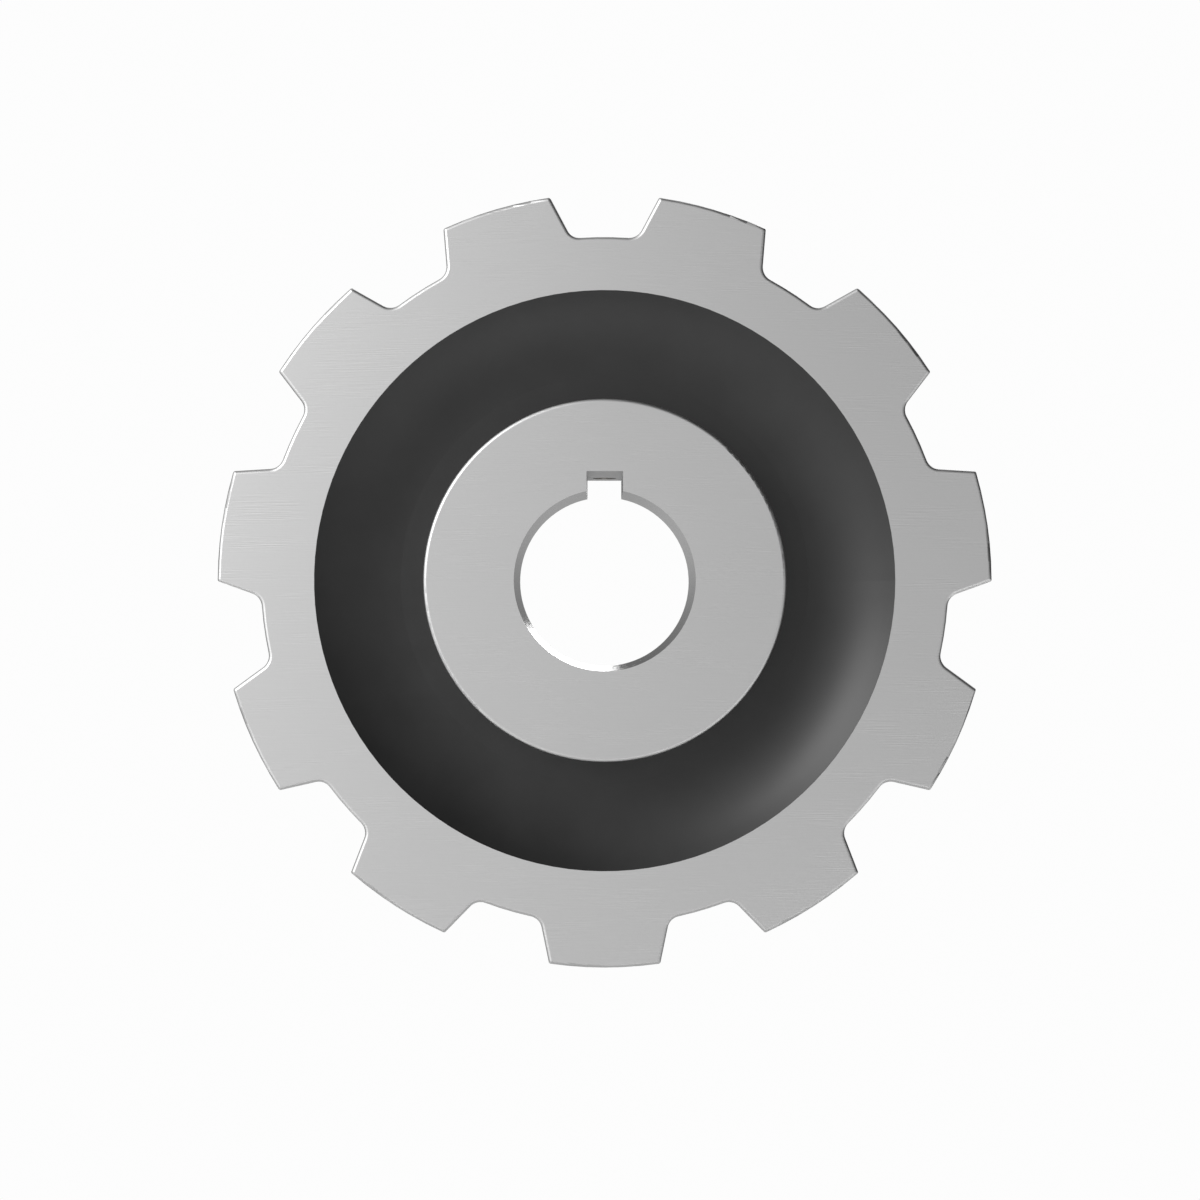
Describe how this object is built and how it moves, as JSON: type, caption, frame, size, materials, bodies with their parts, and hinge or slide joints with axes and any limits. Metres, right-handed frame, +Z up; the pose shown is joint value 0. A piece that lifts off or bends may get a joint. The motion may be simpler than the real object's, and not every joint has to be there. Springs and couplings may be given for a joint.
{
  "type": "timing belt pulley",
  "caption": "Toothed timing belt pulley: metal rim bonded by a dark elastomer ring to a keyed hub with a socket set screw.",
  "frame": {"origin": "on the bore's axis, halfway through the width of the toothed rim", "axes": "+Y along the bore from the front face to the rear boss, +Z up through the keyway, +X to the right seen from the front"},
  "size_m": [0.1374, 0.0318, 0.1366],
  "materials": {
    "rim_steel": "machined and brushed, lightly broken edges",
    "elastomer": "smooth cast elastomer, satin black",
    "hub_steel": "machined and brushed, lightly broken edges",
    "screw_steel": "black oxide",
    "pad_brass": "turned"
  },
  "bodies": {
    "hub_body": {"hub": "hub_steel", "elastomer_ring": "elastomer"},
    "rim_body": {"toothed_rim": "rim_steel"},
    "pad_body": {"screw_pad": "pad_brass"},
    "screw_body": {"set_screw": "screw_steel"}
  },
  "joints": [
    {"name": "rim_windup", "type": "hinge", "parent": "hub_body", "child": "rim_body", "pos_m": [0, 0, 0], "axis": [0, 1, 0], "range_deg": [-3, 3], "stiffness_Nm_per_rad": 860},
    {"name": "pad_travel", "type": "slide", "parent": "hub_body", "child": "pad_body", "axis": [0, 0, 1], "range_m": [-0.0005, 0.0038]},
    {"name": "screw_turn", "type": "hinge", "parent": "pad_body", "child": "screw_body", "pos_m": [0, 0.01105, 0.026], "axis": [0, 0, 1], "range_deg": [-142, 1078]}
  ],
  "couplings": [
    {"joint": "screw_turn", "follows": "pad_travel", "rad_per_m": 4947.4}
  ]
}
